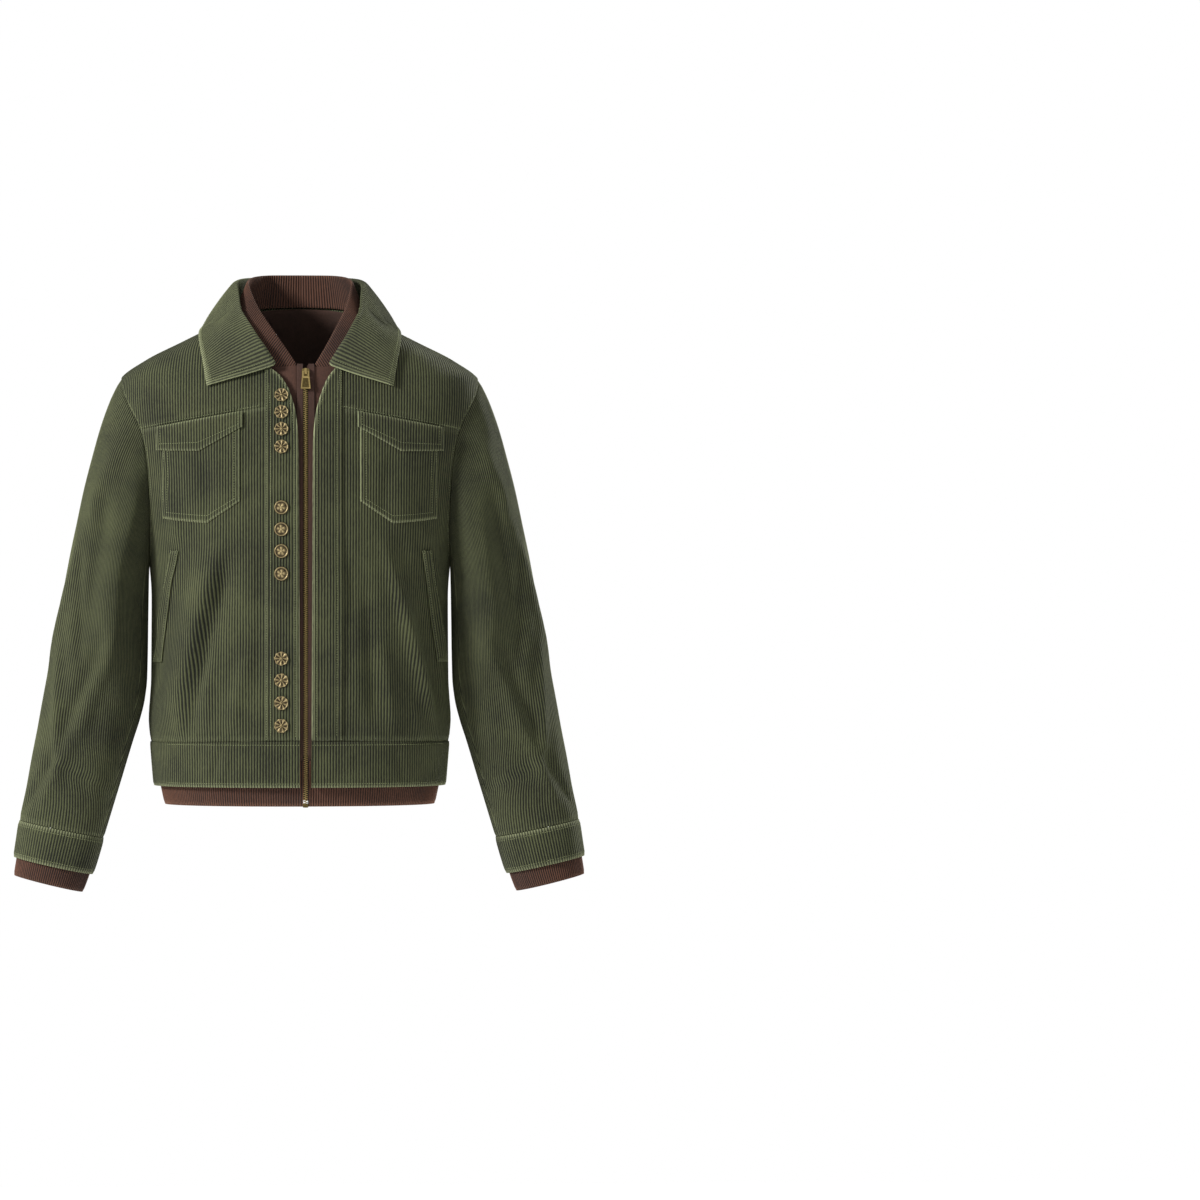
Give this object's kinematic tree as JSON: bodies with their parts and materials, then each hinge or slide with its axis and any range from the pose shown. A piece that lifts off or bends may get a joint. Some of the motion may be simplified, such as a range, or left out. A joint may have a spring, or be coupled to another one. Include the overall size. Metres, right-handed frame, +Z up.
{
  "type": "corduroy jacket",
  "caption": "Short green corduroy jacket as worn, shirt collar, flap pockets, brass buttons, zipped brown rib-knit inner front, collar, hem and cuffs",
  "frame": {"origin": "Between the wearer's shoulder points, level with the high point of the shoulder line", "axes": "+Z up, -Y out of the chest, +X to the wearer's left"},
  "size_m": [0.7168, 0.2536, 0.7782],
  "materials": {
    "corduroy": "cut-pile ribs, matt with a soft sheen",
    "rib_knit": "rib knit, matt",
    "inner_cloth": "plain cloth, matt",
    "zip_tape": "woven tape, matt",
    "zip_brass": "antique, satin",
    "button_brass": "antique, dull"
  },
  "bodies": {
    "jacket": {"front_right": "corduroy", "front_left": "corduroy", "front_yoke_right": "corduroy", "front_yoke_left": "corduroy", "back_panel": "corduroy", "back_yoke": "corduroy", "placket_right": "corduroy", "placket_left": "corduroy", "collar": "corduroy", "chest_pocket_right": "corduroy", "chest_pocket_left": "corduroy", "pocket_flap_right": "corduroy", "pocket_flap_left": "corduroy", "side_welt_right": "corduroy", "side_welt_left": "corduroy", "waistband_right": "corduroy", "waistband_left": "corduroy", "waistband_back": "corduroy", "sleeve_top_right": "corduroy", "sleeve_top_left": "corduroy", "sleeve_under_right": "corduroy", "sleeve_under_left": "corduroy", "cuff_right": "corduroy", "cuff_left": "corduroy", "rib_cuff_right": "rib_knit", "rib_cuff_left": "rib_knit", "rib_hem_right": "rib_knit", "rib_hem_left": "rib_knit", "inner_collar": "rib_knit", "inner_front_right": "inner_cloth", "inner_front_left": "inner_cloth", "inner_back": "inner_cloth", "zip_tape_right": "zip_tape", "zip_tape_left": "zip_tape", "zip_chain": "zip_brass", "zip_box": "zip_brass", "zip_slider": "zip_brass", "zip_slider_wing_right": "zip_brass", "zip_slider_wing_left": "zip_brass", "button_01": "button_brass", "button_02": "button_brass", "button_03": "button_brass", "button_04": "button_brass", "button_05": "button_brass", "button_06": "button_brass", "button_07": "button_brass", "button_08": "button_brass", "button_09": "button_brass", "button_10": "button_brass", "button_11": "button_brass", "button_12": "button_brass"},
    "pull_tab": {"zip_pull": "zip_brass"}
  },
  "joints": [
    {"name": "pull_hinge", "type": "hinge", "parent": "jacket", "child": "pull_tab", "pos_m": [0.00701, -0.08962, -0.06847], "axis": [-1, 0, 0], "range_deg": [0, 150]}
  ]
}
